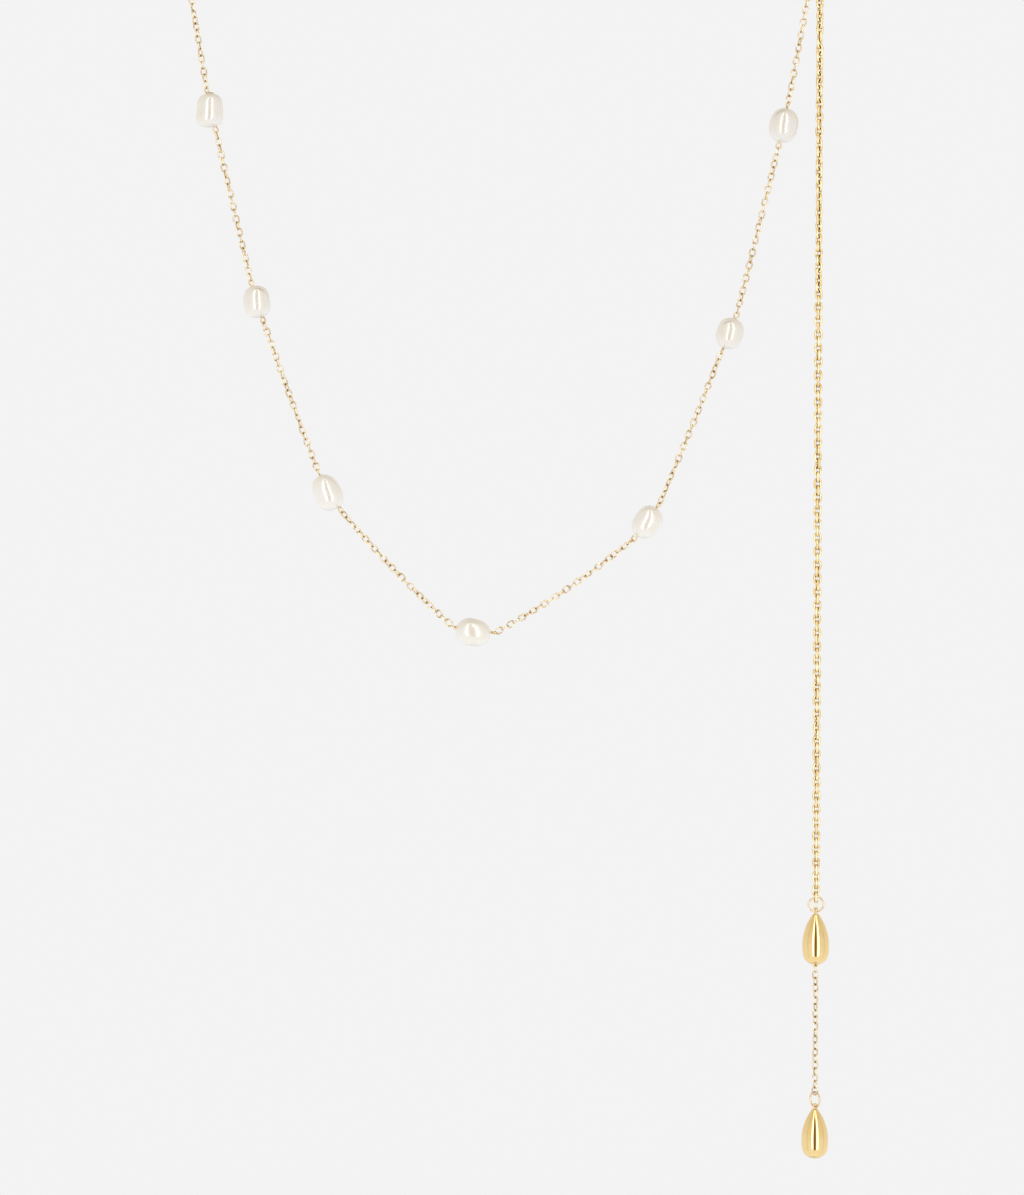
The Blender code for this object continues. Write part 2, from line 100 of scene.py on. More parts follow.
# Brightness of the tent, with dips at its seams, against the bearing from the camera's side to the
# side behind the necklace
TENT_SEAMS = (
    (0.00, 1.00), (0.34, 1.00), (0.43, 0.86), (0.50, 1.00), (0.60, 1.02), (0.68, 0.92),
    (0.76, 1.00), (0.86, 0.96), (0.93, 0.80), (1.00, 0.72),
)

# Planes, heights and sizes that repeat the frame
FRONT_Y = -0.0301
STRAND_X = 0.06055
STRAND_Y = -0.0282
HANG_SPAN = 0.110
CORNER_RING_CENTRE = Vector((0.06035, -0.02915, -0.0012))
CORNER_RING_DIAMETER = 0.0036
CORNER_RING_WIRE = 0.00044
UPPER_DROP_APEX_Z = -0.18947

# Fine cable chain
FINE_WIRE = 0.00028
FINE_WIDTH = 0.00131
FINE_PITCH = 0.001235

# Strand: a heavier cable chain
STRAND_WIRE = 0.00049
STRAND_WIDTH = 0.00156
STRAND_PITCH = 0.00129
STRAND_BEND = 0.004
STRAND_LEAN_IN = 0.012
STRAND_LEAN_FROM_Z = -0.035
STRAND_LEAN_TO_Z = -0.107

# Tie link inside the upper ring
TIE_WIRE = 0.00024
TIE_WIDTH = 0.00092
TIE_LENGTH = 0.00222

# Air between wires that touch, so that no two surfaces share a place
CONTACT_GAP = 0.00001

# Eye pins and their eyes
PIN_WIRE = 0.00028
PIN_SHAFT = 0.00024
PIN_EYE_WIDTH = 0.00116
PIN_EYE_LENGTH = 0.00150
PIN_EYE_GAP_DEG = 24.0
PIN_EYE_SINK = 0.00006

# Jump rings, teardrops and their eyes
RING_WIRE = 0.00036
RING_WIDTH = 0.0032
RING_HALF_HEIGHT = 0.00138
UPPER_RING_GAP_DEG = 8.0
UPPER_RING_LIFT = 0.0002
LOWER_RING_GAP_DEG = 4.0
LOWER_RING_TURN_DEG = -56.0
UPPER_DROP_HEIGHT = 0.0097
LOWER_DROP_HEIGHT = 0.0094
DROP_WIDTH = 0.0051
EYE_WIRE = 0.0003
EYE_SINK = 0.00007
UPPER_EYE_DIAMETER = 0.00146
LOWER_EYE_DIAMETER = 0.0013
FOOT_EYE_DIAMETER = 0.00112
DROP_LINKS = 20
DROP_LINK_PITCH = 0.001228
DROP_LINK_TURN_DEG = 26.0
DROP_LINK_SPREAD_DEG = 9.0

# Half-widths of a teardrop as shares of its width, against the share of its height from the apex;
# the first rows round its tip
DROP_PROFILE = (
    (0.000, 0.035),
    (0.006, 0.080),
    (0.020, 0.120),
    (0.080, 0.195),
    (0.190, 0.313),
    (0.310, 0.402),
    (0.420, 0.460),
    (0.530, 0.493),
    (0.650, 0.500),
    (0.760, 0.488),
    (0.860, 0.448),
    (0.930, 0.362),
    (0.975, 0.232),
)

# Clasp
CLASP_LENGTH = 0.0088
CLASP_WIDTH = 0.0042
CLASP_WIRE = 0.0010
CLASP_TAPER = 0.25
CLASP_EYE_DIAMETER = 0.0021
CLASP_EYE_WIRE = 0.0006
CLASP_SIDES = 16

# Chosen points of the stretch round the neck, from beside the clasp to above the first pearl
BACK_ROUTE = (
    (0.0588, -0.01490, -0.00100),
    (0.0545, -0.01020, -0.00080),
    (0.0450, -0.00580, -0.00050),
    (0.0260, -0.00150, -0.00020),
    (0.0000, 0.00000, 0.00000),
    (-0.0260, -0.00150, 0.00000),
    (-0.0450, -0.00580, 0.00000),
    (-0.0558, -0.01180, 0.00000),
    (-0.0607, -0.02050, -0.00015),
    (-0.0613, -0.02680, -0.00120),
    (-0.0609, -0.02960, -0.00430),
    (-0.0601, -0.03010, -0.00920),
    (-0.0590, -0.03010, -0.01630),
)

# Pearls: lean of the pin, size, how far the middle lies off the drilled hole, how much fatter the
# upper end is, how far the body twists upright off its pin, how blunt the ends are, how the pin's
# upper and lower eyes are turned, and how light the nacre is
PEARL_COLUMNS = ("x", "z", "lean_deg", "length", "width", "shift", "swell", "skew", "bluntness",
                 "turn_deg", "foot_turn_deg", "tone")
PEARLS = (
    (-0.05520, -0.03715, 12.6, 0.00640, 0.00515, -0.00030, -0.07, 0.16, 3.6, 35.0, 10.0, 0.95),
    (-0.04630, -0.07350, 17.5, 0.00615, 0.00510, -0.00010, -0.03, 0.09, 2.9, 15.0, 25.0, 0.95),
    (-0.03240, -0.10945, 30.4, 0.00705, 0.00525, -0.00045, -0.07, 0.04, 2.6, 80.0, 45.0, 1.00),
    (-0.00490, -0.13565, 80.9, 0.00670, 0.00515, -0.00050, 0.05, 0.00, 2.5, 90.0, 80.0, 1.01),
    (0.02785, -0.11500, -36.4, 0.00650, 0.00510, 0.00015, 0.05, 0.00, 2.7, 50.0, 15.0, 0.99),
    (0.04340, -0.07910, -22.2, 0.00600, 0.00510, 0.00015, 0.03, -0.03, 2.6, 0.0, 80.0, 0.95),
    (0.05350, -0.03955, -12.6, 0.00660, 0.00545, 0.00010, 0.00, 0.00, 2.5, 60.0, 10.0, 0.92),
)

# How finely pearls are drawn, their drilled hole and its rim, the share of the width over which the
# skin settles to the hole, and how uneven the skin is
PEARL_SEGMENTS = 96
PEARL_RINGS = 64
PEARL_HOLE_RADIUS = 0.00024
PEARL_RIM = 0.00006
PEARL_RIM_STEPS = 3
PEARL_SETTLE = 1 / 6
PEARL_UNEVEN = 0.00005
PEARL_UNEVEN_SCALE = 0.0022
PEARL_UNEVEN_STEP = 7.0

# Growth rings that show on some pearls, as arcs inside the outline seen from the front: the share
# of the outline they lie at, the middle and half-width of the arc with 0 to the right of the pin
# and 90 up it, and how strong it is
RING_COLUMNS = ("pearl", "share", "middle_deg", "spread_deg", "strength")
GROWTH_RINGS = (
    (1, 0.86, 40.0, 50.0, 0.35),
    (2, 0.78, 52.0, 34.0, 1.00),
    (2, 0.90, 15.0, 40.0, 0.35),
    (3, 0.84, 35.0, 48.0, 0.40),
    (4, 0.78, 5.0, 50.0, 0.50),
    (4, 0.90, 0.0, 60.0, 0.30),
    (5, 0.84, 130.0, 42.0, 0.40),
    (6, 0.74, 125.0, 32.0, 0.90),
    (7, 0.80, 128.0, 32.0, 1.00),
    (7, 0.84, 20.0, 50.0, 0.30),
)

# Width of a growth ring's groove as a share of the outline, its depth, and how fast it fades along
# its arc
RING_GROOVE_WIDTH = 0.04
RING_GROOVE_DEPTH = 0.00006
RING_FADE = 1.5

# Wire tails that stick out past an eye: sideways and upward, from the eye's foot
PIN_TAILS = {
    (1, "head"): (0.00110, -0.00012),
    (4, "head"): (-0.00022, -0.00048),
}

# How finely wire and teardrops are drawn, and the bend from which an edge stays sharp
LINK_END_STEPS = 12
WIRE_SIDES = 10
EYE_STEPS = 32
CURVE_STEPS = 24
HANG_STEPS = 96
PROFILE_STEPS = 7
FOOT_STEPS = 8
DROP_SEGMENTS = 96
SHARP_EDGE_DEG = 60.0

# Gold plate: the two colours that it drifts between, its least and greatest roughness, and how far
# away a neighbour still darkens it with painted shade
GOLDS = {
    "fine_gold": ((0.92, 0.80, 0.57), (0.62, 0.46, 0.25), 0.06, 0.14, 0.0005),
    "pin_gold": ((0.80, 0.64, 0.39), (0.62, 0.46, 0.24), 0.06, 0.14, 0.0),
    "ring_gold": ((0.82, 0.67, 0.43), (0.62, 0.47, 0.27), 0.06, 0.12, 0.0),
    "clasp_gold": ((0.90, 0.76, 0.50), (0.86, 0.71, 0.45), 0.05, 0.10, 0.0),
    "strand_gold": ((0.97, 0.82, 0.50), (0.76, 0.57, 0.28), 0.06, 0.14, 0.0004),
    "polished_gold": ((0.90, 0.68, 0.33), (0.87, 0.65, 0.31), 0.04, 0.07, 0.0),
}
GOLD_DRIFT_SCALE = 900.0
GOLD_MARK_SCALE = 3500.0
GOLD_RELIEF = 0.000004

# Painted shade where wires crowd, partly standing for tarnish in those crevices: the colour it darkens
# to, and the open shares at which it is wholly dark and not at all
PAINTED_CREVICE_SHADE = (0.22, 0.12, 0.04)
CREVICE_DARK = 0.40
CREVICE_CLEAR = 0.90

# How strongly the materials' relief shows
BUMP_STRENGTH = 0.15

# Colours of the nacre: its body, its cream and rose drifts, and its growth rings, whose darker tint is
# partly their own tone and partly painted shade of their grooves
NACRE_BODY = (0.95, 0.91, 0.83)
NACRE_CREAM = (0.94, 0.88, 0.76)
NACRE_ROSE = (0.94, 0.89, 0.84)
NACRE_RING_TONE_AND_SHADE = (0.50, 0.39, 0.36)
NACRE_DRIFT_SCALE = 260.0
NACRE_SKIN_SCALE = 600.0
NACRE_RELIEF = 0.00001

# Name of the pearls' own layer that holds how strongly a growth ring marks each point
GROWTH_LAYER = "growth"

# How loosely neighbouring links turn on each other
LINK_TURN_SPREAD_DEG = 15.0
LINK_TURN_KEPT = 0.7
LINKS_TO_SETTLE = 7
EVEN_TURN_SPREAD_DEG = 9.0
EVEN_TURN_KEPT = 0.6
EVEN_LINKS_TO_SETTLE = 3
LINK_NOD_DEG = 3.0

# Seeds of the chains' random draws; the front stretches use their own numbers
BACK_CHAIN_SEED = 20
STRAND_SEED = 30
DROP_CHAIN_SEED = 40

# How far along a route its direction at an end is read
ROUTE_STEP = 0.001


class Shape:
    """Points and faces that grow into one mesh."""

    def __init__(self):
        self.points = []
        self.faces = []

    def add_rows(self, rows, close_rows=False):
        """Skin rows of points that each close on themselves; the rows may close too."""
        base = len(self.points)
        count = len(rows[0])
        for row in rows:
            self.points.extend(row)
        steps = len(rows) if close_rows else len(rows) - 1
        for row in range(steps):
            upper = base + row * count
            lower = base + (row + 1) % len(rows) * count
            for column in range(count):
                beside = (column + 1) % count
                self.faces.append((upper + column, upper + beside, lower + beside, lower + column))
        if not close_rows:
            self.faces.append(tuple(range(base, base + count)))
            self.faces.append(tuple(range(base + steps * count, base + (steps + 1) * count)))

    def piece(self, name, mat, replaces, body="necklace"):
        """Make the mesh one smooth piece that rides on a body in place of its CAD nodes."""
        mesh = bpy.data.meshes.new(name)
        mesh.from_pydata([tuple(point) for point in self.points], [], self.faces)
        shape = bmesh.new()
        shape.from_mesh(mesh)
        bmesh.ops.recalc_face_normals(shape, faces=shape.faces)
        shape.to_mesh(mesh)
        shape.free()
        mesh.shade_smooth()
        mesh.set_sharp_from_angle(angle=math.radians(SHARP_EDGE_DEG))
        mesh.materials.append(mat)
        obj = bpy.data.objects.new(name, mesh)
        bpy.context.scene.collection.objects.link(obj)
        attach(obj, body)
        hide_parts(*replaces)
        return obj


def circle(centre, across, up, radius, sides):
    """Points of a circle in the plane of two directions."""
    return [centre + across * (radius * math.cos(2 * math.pi * side / sides))
            + up * (radius * math.sin(2 * math.pi * side / sides)) for side in range(sides)]


def add_closed_wire(shape, path, normal, wire, sides=WIRE_SIDES):
    """Round wire along a flat closed path."""
    rows = []
    for index, point in enumerate(path):
        tangent = (path[(index + 1) % len(path)] - path[index - 1]).normalized()
        rows.append(circle(point, tangent.cross(normal), normal, wire / 2, sides))
    shape.add_rows(rows, close_rows=True)


def add_open_wire(shape, path, wires):
    """Round wire along an open path, each point with its own thickness, with flat ends."""
    tangent = (path[1] - path[0]).normalized()
    side = tangent.orthogonal().normalized()
    rows = []
    for index, point in enumerate(path):
        before = path[max(index - 1, 0)]
        after = path[min(index + 1, len(path) - 1)]
        tangent = (after - before).normalized()
        side = (side - tangent * side.dot(tangent)).normalized()
        rows.append(circle(point, side, tangent.cross(side), wires[index] / 2, WIRE_SIDES))
    shape.add_rows(rows)


def oval(centre, across, up, half_width, half_height):
    """Points round an oval."""
    path = []
    for step in range(EYE_STEPS):
        angle = 2 * math.pi * step / EYE_STEPS
        path.append(centre + across * (half_width * math.cos(angle))
                    + up * (half_height * math.sin(angle)))
    return path


def link_path(centre, along, across, length, width):
    """Centre line of a cable link: two half circles joined by straight sides."""
    radius = width / 2
    straight = length / 2 - radius
    path = []
    for end in (1, -1):
        for step in range(LINK_END_STEPS + 1):
            angle = math.pi * step / LINK_END_STEPS
            reach = end * (straight + radius * math.sin(angle))
            path.append(centre + across * (end * radius * math.cos(angle)) + along * reach)
    return path


def add_link(shape, centre, along, across, pitch, width, wire):
    """One cable link; the pitch is its inner length."""
    path = link_path(centre, along, across, pitch + wire, width - wire)
    add_closed_wire(shape, path, along.cross(across), wire)


def smooth_through(points, steps):
    """A smooth curve through chosen points."""
    padded = [2 * points[0] - points[1], *points, 2 * points[-1] - points[-2]]
    result = []
    for before, start, end, after in zip(padded, padded[1:], padded[2:], padded[3:]):
        for step in range(steps):
            t = step / steps
            result.append(0.5 * (2 * start + (end - before) * t
                                 + (2 * before - 5 * start + 4 * end - after) * t ** 2
                                 + (3 * start - 3 * end + after - before) * t ** 3))
    return [*result, points[-1]]


def hanging_curve(start, end):
    """The catenary that a stretch of chain hangs in between two points."""
    run = end.x - start.x
    rise = end.z - start.z
    lowest = (start.x + end.x) / 2 - HANG_SPAN * math.asinh(
        rise / (2 * HANG_SPAN * math.sinh(run / (2 * HANG_SPAN))))
    base = math.cosh((start.x - lowest) / HANG_SPAN)
    result = []
    for step in range(HANG_STEPS + 1):
        share = step / HANG_STEPS
        x = start.x + run * share
        lift = HANG_SPAN * (math.cosh((x - lowest) / HANG_SPAN) - base)
        result.append(Vector((x, start.y + (end.y - start.y) * share, start.z + lift)))
    return result


class Route:
    """A polyline that is read by the length along it."""

    def __init__(self, points):
        self.points = points
        self.lengths = [0.0]
        for first, second in zip(points, points[1:]):
            self.lengths.append(self.lengths[-1] + (second - first).length)
        self.length = self.lengths[-1]

    def at(self, distance):
        """The point at a distance from the start."""
        distance = min(max(distance, 0.0), self.length)
        index = 0
        while index < len(self.points) - 2 and self.lengths[index + 1] < distance:
            index += 1
        share = (distance - self.lengths[index]) / (self.lengths[index + 1] - self.lengths[index])
        return self.points[index].lerp(self.points[index + 1], share)

    def leaving(self):
        """The way from the start along the route."""
        return self.at(ROUTE_STEP) - self.points[0]

    def arriving(self):
        """The way along the route to its end."""
        return self.points[-1] - self.at(self.length - ROUTE_STEP)


def angle_about(axis, zero, direction):
    """Angle of a direction about an axis from a zero direction square to it."""
    flat = direction - axis * direction.dot(axis)
    return math.atan2(axis.cross(zero).dot(flat), zero.dot(flat))


def link_frames(route, first, count, pitch, wire, across):
    """Middle, length direction and across direction of each link, all of one unturned plane."""
    frames = []
    for index in range(count):
        head = route.at(first + index * pitch)
        foot = route.at(first + (index + 1) * pitch + wire)
        along = (foot - head).normalized()
        across = (across - along * across.dot(along)).normalized()
        frames.append(((head + foot) / 2, along, across))
    return frames


def loose_turns(frames, end_across, draw):
    """Turns by which links alternate face-on and edge-on, wander, and settle square to both eyes."""
    turns = []
    wander = 0.0
    for index, (_, along, zero) in enumerate(frames):
        wander = LINK_TURN_KEPT * wander + math.radians(draw.gauss(0.0, LINK_TURN_SPREAD_DEG))
        turns.append(angle_about(along, zero, along.cross(AWAY)) + math.pi / 2 * index + wander)
    last = len(frames) - 1
    _, along, zero = frames[last]
    # Whole quarter turns bring the first link nearly square to its eye, and the rest fades out
    start_miss = (-turns[0] + math.pi / 4) % (math.pi / 2) - math.pi / 4
    parity = -turns[0] - start_miss
    # What the last link lacks of being square to its own eye fades in
    wanted = angle_about(along, zero, end_across) - parity
    end_miss = (wanted - turns[last] + math.pi / 2) % math.pi - math.pi / 2
    reach = min(LINKS_TO_SETTLE, last / 2)
    return [turn + parity + start_miss * max(0.0, 1 - index / reach)
            + end_miss * max(0.0, 1 - (last - index) / reach) for index, turn in enumerate(turns)]


def even_turns(frames, lean, draw):
    """Turns of quarter steps that end square; lean gives the further turn at a link's height."""
    turns = []
    wander = 0.0
    last = len(frames) - 1
    for index, (centre, _, _) in enumerate(frames):
        wander = EVEN_TURN_KEPT * wander + math.radians(draw.gauss(0.0, EVEN_TURN_SPREAD_DEG))
        free = min(1.0, (last - index) / EVEN_LINKS_TO_SETTLE, index / EVEN_LINKS_TO_SETTLE)
        turns.append(math.pi / 2 * (last - index) + lean(centre.z) + wander * free)
    return turns


def add_chain(shape, frames, turns, size, draw):
    """Interlocking links; size is their inner length, width and wire."""
    pitch, width, wire = size
    for (centre, along, zero), turn in zip(frames, turns):
        across = Matrix.Rotation(turn, 3, along) @ zero
        nod = Matrix.Rotation(math.radians(draw.uniform(-LINK_NOD_DEG, LINK_NOD_DEG)), 3,
                              along.cross(across))
        add_link(shape, centre, nod @ along, nod @ across, pitch - CONTACT_GAP, width, wire)


def make_fine_chain(name, route, start, end, seed, mat, replaces):
    """Fine links along a route; each end is given as its wire's distance from the eye that it hooks
    into and the direction across its link."""
    draw = random.Random(seed)
    first, first_across = start
    gap, last_across = end
    span = route.length - gap - first
    count = round((span - FINE_WIRE) / FINE_PITCH)
    pitch = (span - FINE_WIRE) / count
    frames = link_frames(route, first, count, pitch, FINE_WIRE, first_across)
    turns = loose_turns(frames, last_across, draw)
    shape = Shape()
    add_chain(shape, frames, turns, (pitch, FINE_WIDTH, FINE_WIRE), draw)
    shape.piece(name, mat, replaces)


def new_material(name):
    """A material with its Principled shader and a lookup for new nodes."""
    mat = bpy.data.materials.new(name)
    mat.use_nodes = True
    return mat, mat.node_tree.nodes["Principled BSDF"], mat.node_tree


def object_noise(tree, scale, detail):
    """Noise in the object's own space."""
    place = tree.nodes.new("ShaderNodeTexCoord")
    field = tree.nodes.new("ShaderNodeTexNoise")
    field.inputs["Scale"].default_value = scale
    field.inputs["Detail"].default_value = detail
    tree.links.new(place.outputs["Object"], field.inputs["Vector"])
    return field


def ramp_between(tree, source, stops):
    """A colour ramp over a value; each stop is its place and colour."""
    ramp = tree.nodes.new("ShaderNodeValToRGB")
    while len(ramp.color_ramp.elements) < len(stops):
        ramp.color_ramp.elements.new(0.5)
    for element, (place, colour) in zip(ramp.color_ramp.elements, stops):
        element.position = place
        element.color = (*colour, 1.0)
    tree.links.new(source, ramp.inputs["Fac"])
    return ramp


def calculated(tree, operation, first, second=None):
    """A value worked out from another one, and from a second one or a number."""
    node = tree.nodes.new("ShaderNodeMath")
    node.operation = operation
    tree.links.new(first, node.inputs[0])
    if isinstance(second, float):
        node.inputs[1].default_value = second
    elif second is not None:
        tree.links.new(second, node.inputs[1])
    return node.outputs["Value"]


def axes_of(tree, output):
    """The three parts of a texture coordinate."""
    place = tree.nodes.new("ShaderNodeTexCoord")
    split = tree.nodes.new("ShaderNodeSeparateXYZ")
    tree.links.new(place.outputs[output], split.inputs["Vector"])
    return split.outputs


def spread_between(tree, source, low, high):
    """A value stretched between two limits."""
    span = tree.nodes.new("ShaderNodeMapRange")
    span.inputs["From Min"].default_value = 0.3
    span.inputs["From Max"].default_value = 0.7
    span.inputs["To Min"].default_value = low
    span.inputs["To Max"].default_value = high
    tree.links.new(source, span.inputs["Value"])
    return span


def add_bump(tree, shader, source, distance):
    """Faint relief from a value."""
    bump = tree.nodes.new("ShaderNodeBump")
    bump.inputs["Strength"].default_value = BUMP_STRENGTH
    bump.inputs["Distance"].default_value = distance
    tree.links.new(source, bump.inputs["Height"])
    tree.links.new(bump.outputs["Normal"], shader.inputs["Normal"])


def mix_colours(tree, share, tint, colour):
    """A tint where the share is nothing, and the colour where it is whole."""
    mix = tree.nodes.new("ShaderNodeMix")
    mix.data_type = "RGBA"
    mix.inputs["A"].default_value = (*tint, 1.0)
    tree.links.new(share, mix.inputs["Factor"])
    tree.links.new(colour, mix.inputs["B"])
    return mix.outputs["Result"]


def paint_crevice_shade(tree, colour, reach):
    """Paint shade into a colour where neighbouring surfaces crowd within a reach, partly standing for
    tarnish.
    """
    crowd = tree.nodes.new("ShaderNodeAmbientOcclusion")
    crowd.samples = 8
    crowd.inputs["Distance"].default_value = reach
    open_share = tree.nodes.new("ShaderNodeMapRange")
    open_share.inputs["From Min"].default_value = CREVICE_DARK
    open_share.inputs["From Max"].default_value = CREVICE_CLEAR
    tree.links.new(crowd.outputs["AO"], open_share.inputs["Value"])
    return mix_colours(tree, open_share.outputs["Result"], PAINTED_CREVICE_SHADE, colour)


def gold(name, light, deep, smooth, dull, shade_reach):
    """Gold plate: its colour drifts a little, its polish is crossed by faint handling marks, and where a
    reach is given it takes painted shade where neighbours crowd.
    """
    mat, shader, tree = new_material(name)
    shader.inputs["Metallic"].default_value = 1.0
    drift = object_noise(tree, GOLD_DRIFT_SCALE, 2.0)
    colour = ramp_between(tree, drift.outputs["Fac"], ((0.40, deep), (0.60, light))).outputs["Color"]
    if shade_reach:
        # Painted shade where neighbouring wires crowd
        colour = paint_crevice_shade(tree, colour, shade_reach)
    tree.links.new(colour, shader.inputs["Base Color"])
    marks = object_noise(tree, GOLD_MARK_SCALE, 4.0)
    polish = spread_between(tree, marks.outputs["Fac"], smooth, dull)
    tree.links.new(polish.outputs["Result"], shader.inputs["Roughness"])
    add_bump(tree, shader, marks.outputs["Fac"], GOLD_RELIEF)
    return mat


def nacre(name, tone):
    """Pearl: white body with cream and rose drifts and darker growth rings, partly their own tone and
    partly painted shade of their grooves, under a glossy skin.
    """
    mat, shader, tree = new_material(name)
    cream, body, rose, growth = [tuple(tone * value for value in colour) for colour in (
        NACRE_CREAM, NACRE_BODY, NACRE_ROSE, NACRE_RING_TONE_AND_SHADE)]
    drift = object_noise(tree, NACRE_DRIFT_SCALE, 2.0)
    ramp = ramp_between(tree, drift.outputs["Fac"], ((0.30, cream), (0.50, body), (0.72, rose)))
    ring = tree.nodes.new("ShaderNodeAttribute")
    ring.attribute_name = GROWTH_LAYER
    plain = tree.nodes.new("ShaderNodeMapRange")
    plain.inputs["To Min"].default_value = 1.0
    plain.inputs["To Max"].default_value = 0.0
    tree.links.new(ring.outputs["Fac"], plain.inputs["Value"])
    # Growth rings darken the colour: partly their own tone, partly painted shade of their grooves
    colour = mix_colours(tree, plain.outputs["Result"], growth, ramp.outputs["Color"])
    tree.links.new(colour, shader.inputs["Base Color"])
    skin = object_noise(tree, NACRE_SKIN_SCALE, 1.0)
    polish = spread_between(tree, skin.outputs["Fac"], 0.22, 0.28)
    tree.links.new(polish.outputs["Result"], shader.inputs["Roughness"])
    shader.inputs["IOR"].default_value = 2.2
    shader.inputs["Coat Weight"].default_value = 1.0
    shader.inputs["Coat Roughness"].default_value = 0.12
    shader.inputs["Coat IOR"].default_value = 1.7
    add_bump(tree, shader, skin.outputs["Fac"], NACRE_RELIEF)
    return mat


def pearl_rows():
    """The pearl table as named values."""
    return [dict(zip(PEARL_COLUMNS, row)) for row in PEARLS]


def pin_direction(row):
    """Direction up the pin, in the front plane."""
    lean = math.radians(row["lean_deg"])
    return Vector((-math.sin(lean), 0, math.cos(lean)))


def eye_centre(row, head):
    """Middle of the upper or the lower eye of a pearl's pin."""
    reach = row["length"] / 2 + PIN_EYE_LENGTH / 2 - PIN_EYE_SINK
    return Vector((row["x"], FRONT_Y, row["z"])) + pin_direction(row) * (reach if head else -reach)


def eye_across(row, head):
    """Direction across the upper or the lower eye of a pearl's pin."""
    turn = math.radians(row["turn_deg"] if head else row["foot_turn_deg"])
    return pin_direction(row).cross(AWAY) * math.cos(turn) + AWAY * math.sin(turn)


def eye_hook(row, head, pull):
    """Where the end wire of a fine chain lies that pulls a pin's eye: its distance from the eye's
    middle, and the direction across its link."""
    slope = abs(pin_direction(row).dot(pull.normalized()))
    half_length = (PIN_EYE_LENGTH - PIN_WIRE) / 2
    half_width = (PIN_EYE_WIDTH - PIN_WIRE) / 2
    edge = half_width + (half_length - half_width) * slope ** 2
    reach = edge - PIN_WIRE / 2 - FINE_WIRE / 2 - CONTACT_GAP
    return reach, pull.cross(eye_across(row, head)).normalized()


def growth_mark(number, level, angle):
    """How strongly the growth rings mark a pearl at a height and a bearing."""
    mark = 0.0
    if math.sin(angle) < 0:
        across = math.sqrt(max(0.0, 1 - level ** 2)) * math.cos(angle)
        share = math.hypot(across, level)
        bearing = math.degrees(math.atan2(level, across))
        for values in GROWTH_RINGS:
            ring = dict(zip(RING_COLUMNS, values))
            if ring["pearl"] == number:
                off = (bearing - ring["middle_deg"] + 180) % 360 - 180
                fade = math.exp(-(off / ring["spread_deg"]) ** 2 * RING_FADE)
                groove = math.exp(-((share - ring["share"]) / RING_GROOVE_WIDTH) ** 2)
                mark += ring["strength"] * fade * groove
    return mark


def pearl_point(row, number, level, angle, lay):
    """A point on a pearl's skin, laid in place."""
    bulge = (1 - abs(level) ** row["bluntness"]) ** 0.5 * (1 + row["swell"] * level)
    radius = max(bulge * row["width"] / 2, PEARL_HOLE_RADIUS)
    settle = min(1.0, (radius - PEARL_HOLE_RADIUS) / (row["width"] * PEARL_SETTLE))
    outward = Vector((math.cos(angle), math.sin(angle), 0))
    aside = row["shift"] * settle + row["skew"] * row["width"] * level * (1 - level ** 2)
    local = outward * radius + Vector((aside, 0, level * row["length"] / 2))
    normal = Vector((outward.x, outward.y, level * row["width"] / row["length"])).normalized()
    bump = noise.noise(local / PEARL_UNEVEN_SCALE + Vector((PEARL_UNEVEN_STEP * number, 0, 0)))
    lift = (PEARL_UNEVEN * bump - RING_GROOVE_DEPTH * growth_mark(number, level, angle)) * settle
    return lay @ (local + normal * lift)


def make_pearl(number, row, mat):
    """A blunt oval pearl with a drilled hole, its rim rounded into the bore."""
    lay = Matrix.Translation((row["x"], FRONT_Y, row["z"])) @ Matrix.Rotation(
        -math.radians(row["lean_deg"]), 4, "Y")
    start = (2 * PEARL_HOLE_RADIUS / row["width"]) ** 2 / row["bluntness"]
    angles = [2 * math.pi * side / PEARL_SEGMENTS for side in range(PEARL_SEGMENTS)]
    rows = []
    marks = []
    for ring in range(PEARL_RINGS + 1):
        level = (1 - start) * math.cos(math.pi * ring / PEARL_RINGS)
        rows.append([pearl_point(row, number, level, angle, lay) for angle in angles])
        marks.append([growth_mark(number, level, angle) for angle in angles])
    for end in (-1, 1):
        for depth in range(1, PEARL_RIM_STEPS + 1):
            angle = math.pi / 2 * depth / PEARL_RIM_STEPS
            radius = PEARL_HOLE_RADIUS - PEARL_RIM * math.sin(angle)
            height = row["length"] / 2 - PEARL_RIM * (1 - math.cos(angle)) * 2
            middle = Vector((0, 0, end * height))
            ring = [lay @ point for point in circle(middle, RIGHT, AWAY, radius, PEARL_SEGMENTS)]
            rows.insert(len(rows) if end < 0 else 0, ring)
            marks.insert(len(marks) if end < 0 else 0, [0.0] * PEARL_SEGMENTS)
    shape = Shape()
    shape.add_rows(rows, close_rows=True)
    pearl = shape.piece("pearl_%d_nacre" % number, mat, ["pearl_%d" % number])
    growth = pearl.data.attributes.new(GROWTH_LAYER, "FLOAT", "POINT")
    for index, mark in enumerate(value for ring in marks for value in ring):
        growth.data[index].value = mark


def eye_loop(centre, away, across):
    """The bent end of a pin, from its shaft round the eye to just beside the shaft again."""
    half_length = (PIN_EYE_LENGTH - PIN_WIRE) / 2
    half_width = (PIN_EYE_WIDTH - PIN_WIRE) / 2
    side = away.cross(across)
    path = []
    for step in range(EYE_STEPS + 1):
        share = step / EYE_STEPS
        angle = math.radians(share * (360 - PIN_EYE_GAP_DEG))
        path.append(centre - away * (half_length * math.cos(angle))
                    + across * (half_width * math.sin(angle)) + side * (PIN_WIRE * 0.5 * share ** 2))
    return path


